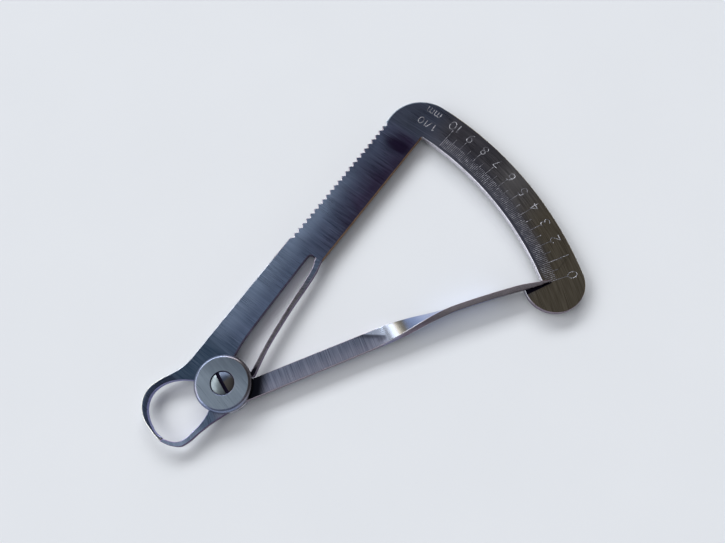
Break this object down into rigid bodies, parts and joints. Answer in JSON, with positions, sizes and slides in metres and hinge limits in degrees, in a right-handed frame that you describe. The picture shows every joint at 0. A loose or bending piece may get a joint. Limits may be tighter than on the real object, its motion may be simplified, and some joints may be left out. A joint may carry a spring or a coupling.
{
  "type": "outside caliper",
  "caption": "Spring-loaded outside caliper in flat sheet steel: curved jaws, a toothed bar, a graduated arc and a twisted pointer turning on one pivot.",
  "frame": {"origin": "on the pivot axis, at the closed back of the rear nut, which the tool lies on", "axes": "+X along the bar from the pivot to the arc, +Y from the pointer towards the toothed edge of the bar, +Z along the pivot axis, out of the graduated front"},
  "size_m": [0.1058, 0.0676, 0.0054],
  "materials": {
    "frame_steel": "sheet steel ground across the bar, with bright deburred edges and an engraved scale",
    "lever_steel": "sheet steel ground across the arm, polished where it twists",
    "disc_steel": "turned steel with a fine ground face and a polished rounded edge",
    "screw_steel": "polished steel"
  },
  "bodies": {
    "frame": {"frame_plate": "frame_steel", "front_disc": "disc_steel", "rear_nut": "disc_steel", "pivot_screw": "screw_steel"},
    "lever": {"pointer_lever": "lever_steel"},
    "leaf": {"leaf_spring": "frame_steel"}
  },
  "joints": [
    {"name": "lever_hinge", "type": "hinge", "parent": "frame", "child": "lever", "pos_m": [0, 0, 0.00225], "axis": [0, 0, 1], "range_deg": [0, 32], "stiffness_Nm_per_rad": 0.1, "springref_deg": -2.86},
    {"name": "leaf_hinge", "type": "hinge", "parent": "frame", "child": "leaf", "pos_m": [0.0361, 0.001, 0.00225], "axis": [0, 0, 1], "range_deg": [-6.8, 0]}
  ],
  "couplings": [
    {"joint": "leaf_hinge", "follows": "lever_hinge", "ratio": -0.207}
  ]
}
